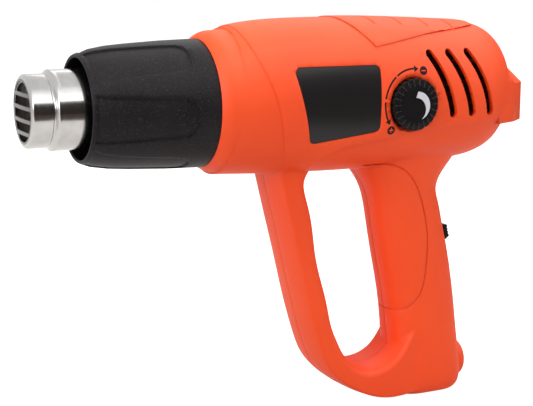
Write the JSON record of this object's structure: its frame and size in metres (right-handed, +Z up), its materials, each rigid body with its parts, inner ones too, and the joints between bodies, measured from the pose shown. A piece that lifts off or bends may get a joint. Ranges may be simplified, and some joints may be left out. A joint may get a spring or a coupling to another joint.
{
  "type": "hot air gun with closed handle",
  "caption": "Hot-air gun with a stepped steel nozzle, black guard, closed loop handle, temperature dial and rear thumb switch.",
  "frame": {"origin": "centre of the front end of the nozzle's straight wall", "axes": "+X rearwards along the barrel's axis, away from the outlet; +Z up, away from the grip; -Y the side with the dial"},
  "size_m": [0.2665, 0.0759, 0.2013],
  "materials": {
    "casing_red": "satin moulded ABS, orange-red",
    "black_plastic": "fine matt, black glass-filled nylon",
    "nozzle_steel": "polished rolled stainless sheet",
    "mica": "layered mica sheet",
    "ceramic": "unglazed ceramic",
    "resistance_wire": "coiled nickel-chromium wire",
    "zinc_steel": "bright zinc plate",
    "inner_plastic": "moulded, dark grey",
    "circuit_laminate": "lacquered laminate",
    "brass_nut": "turned",
    "knob_plastic": "satin black",
    "white_print": "printed ink",
    "label_film": "bare satin black film",
    "fin_aluminium": "extruded",
    "gland_rubber": "soft rubber",
    "black_screws": "black zinc"
  },
  "bodies": {
    "casing": {"left_housing": "casing_red", "right_housing": "casing_red", "nozzle_guard": "black_plastic", "nozzle_tube": "nozzle_steel", "outlet_grille": "nozzle_steel", "mica_liner": "mica", "heater_former": "ceramic", "heating_windings": "resistance_wire", "heater_spider": "ceramic", "thermal_cutout": "zinc_steel", "air_duct": "inner_plastic", "motor_can": "zinc_steel", "rectifier_board": "circuit_laminate", "control_body": "zinc_steel", "control_nut": "brass_nut", "label_plate": "label_film", "left_dust_screen": "black_plastic", "right_dust_screen": "black_plastic", "switch_body": "black_plastic", "circuit_board": "circuit_laminate", "filter_capacitor": "black_plastic", "heatsink": "fin_aluminium", "cable_gland": "gland_rubber", "cord_clamp": "inner_plastic", "clamp_screws": "zinc_steel", "casing_screws": "black_screws"},
    "fan": {"fan_impeller": "inner_plastic", "motor_shaft": "zinc_steel"},
    "dial": {"dial_knob": "knob_plastic", "dial_mark": "white_print", "dial_shaft": "inner_plastic"},
    "switch": {"switch_slider": "black_plastic"}
  },
  "joints": [
    {"name": "fan_spin", "type": "hinge", "parent": "casing", "child": "fan", "pos_m": [0.196, 0, 0], "axis": [1, 0, 0], "continuous": true},
    {"name": "dial_turn", "type": "hinge", "parent": "casing", "child": "dial", "pos_m": [0.1844, -0.039, -0.0018], "axis": [0, -1, 0], "range_deg": [-135, 135]},
    {"name": "switch_slide", "type": "slide", "parent": "casing", "child": "switch", "axis": [-0.2317, 0, 0.9728], "range_m": [0, 0.006]}
  ]
}
